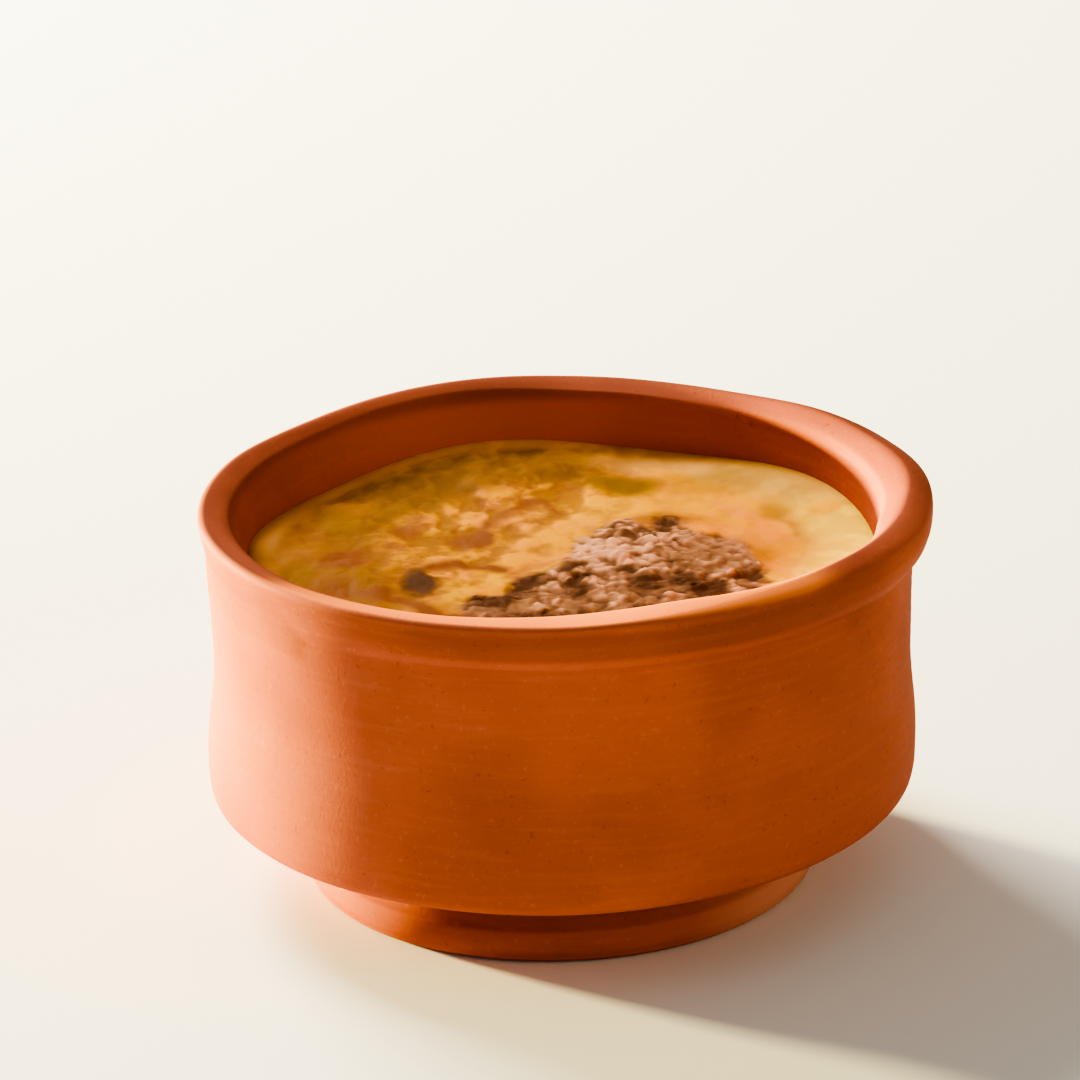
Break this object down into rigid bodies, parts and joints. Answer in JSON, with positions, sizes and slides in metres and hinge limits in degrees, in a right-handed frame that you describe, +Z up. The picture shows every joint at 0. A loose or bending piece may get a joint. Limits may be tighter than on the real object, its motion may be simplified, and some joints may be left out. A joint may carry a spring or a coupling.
{
  "type": "baked milk pudding in a clay pot",
  "caption": "Oven-browned milk pudding, set up to just below the rim of a round, hand-thrown terracotta pot with a rolled lip and a foot ring.",
  "frame": {"origin": "under the middle of the rim, on the surface that the foot stands on", "axes": "+Z up along the pot's axis, -Y towards the front of the picture, +X to the right"},
  "size_m": [0.1213, 0.121, 0.0663],
  "materials": {
    "terracotta": "unglazed, matte, fine throwing rings",
    "pudding": "oven-browned milk skin, satin, with a scorched and blistered patch"
  },
  "bodies": {
    "root": {"clay_pot": "terracotta", "pudding": "pudding"}
  },
  "joints": []
}
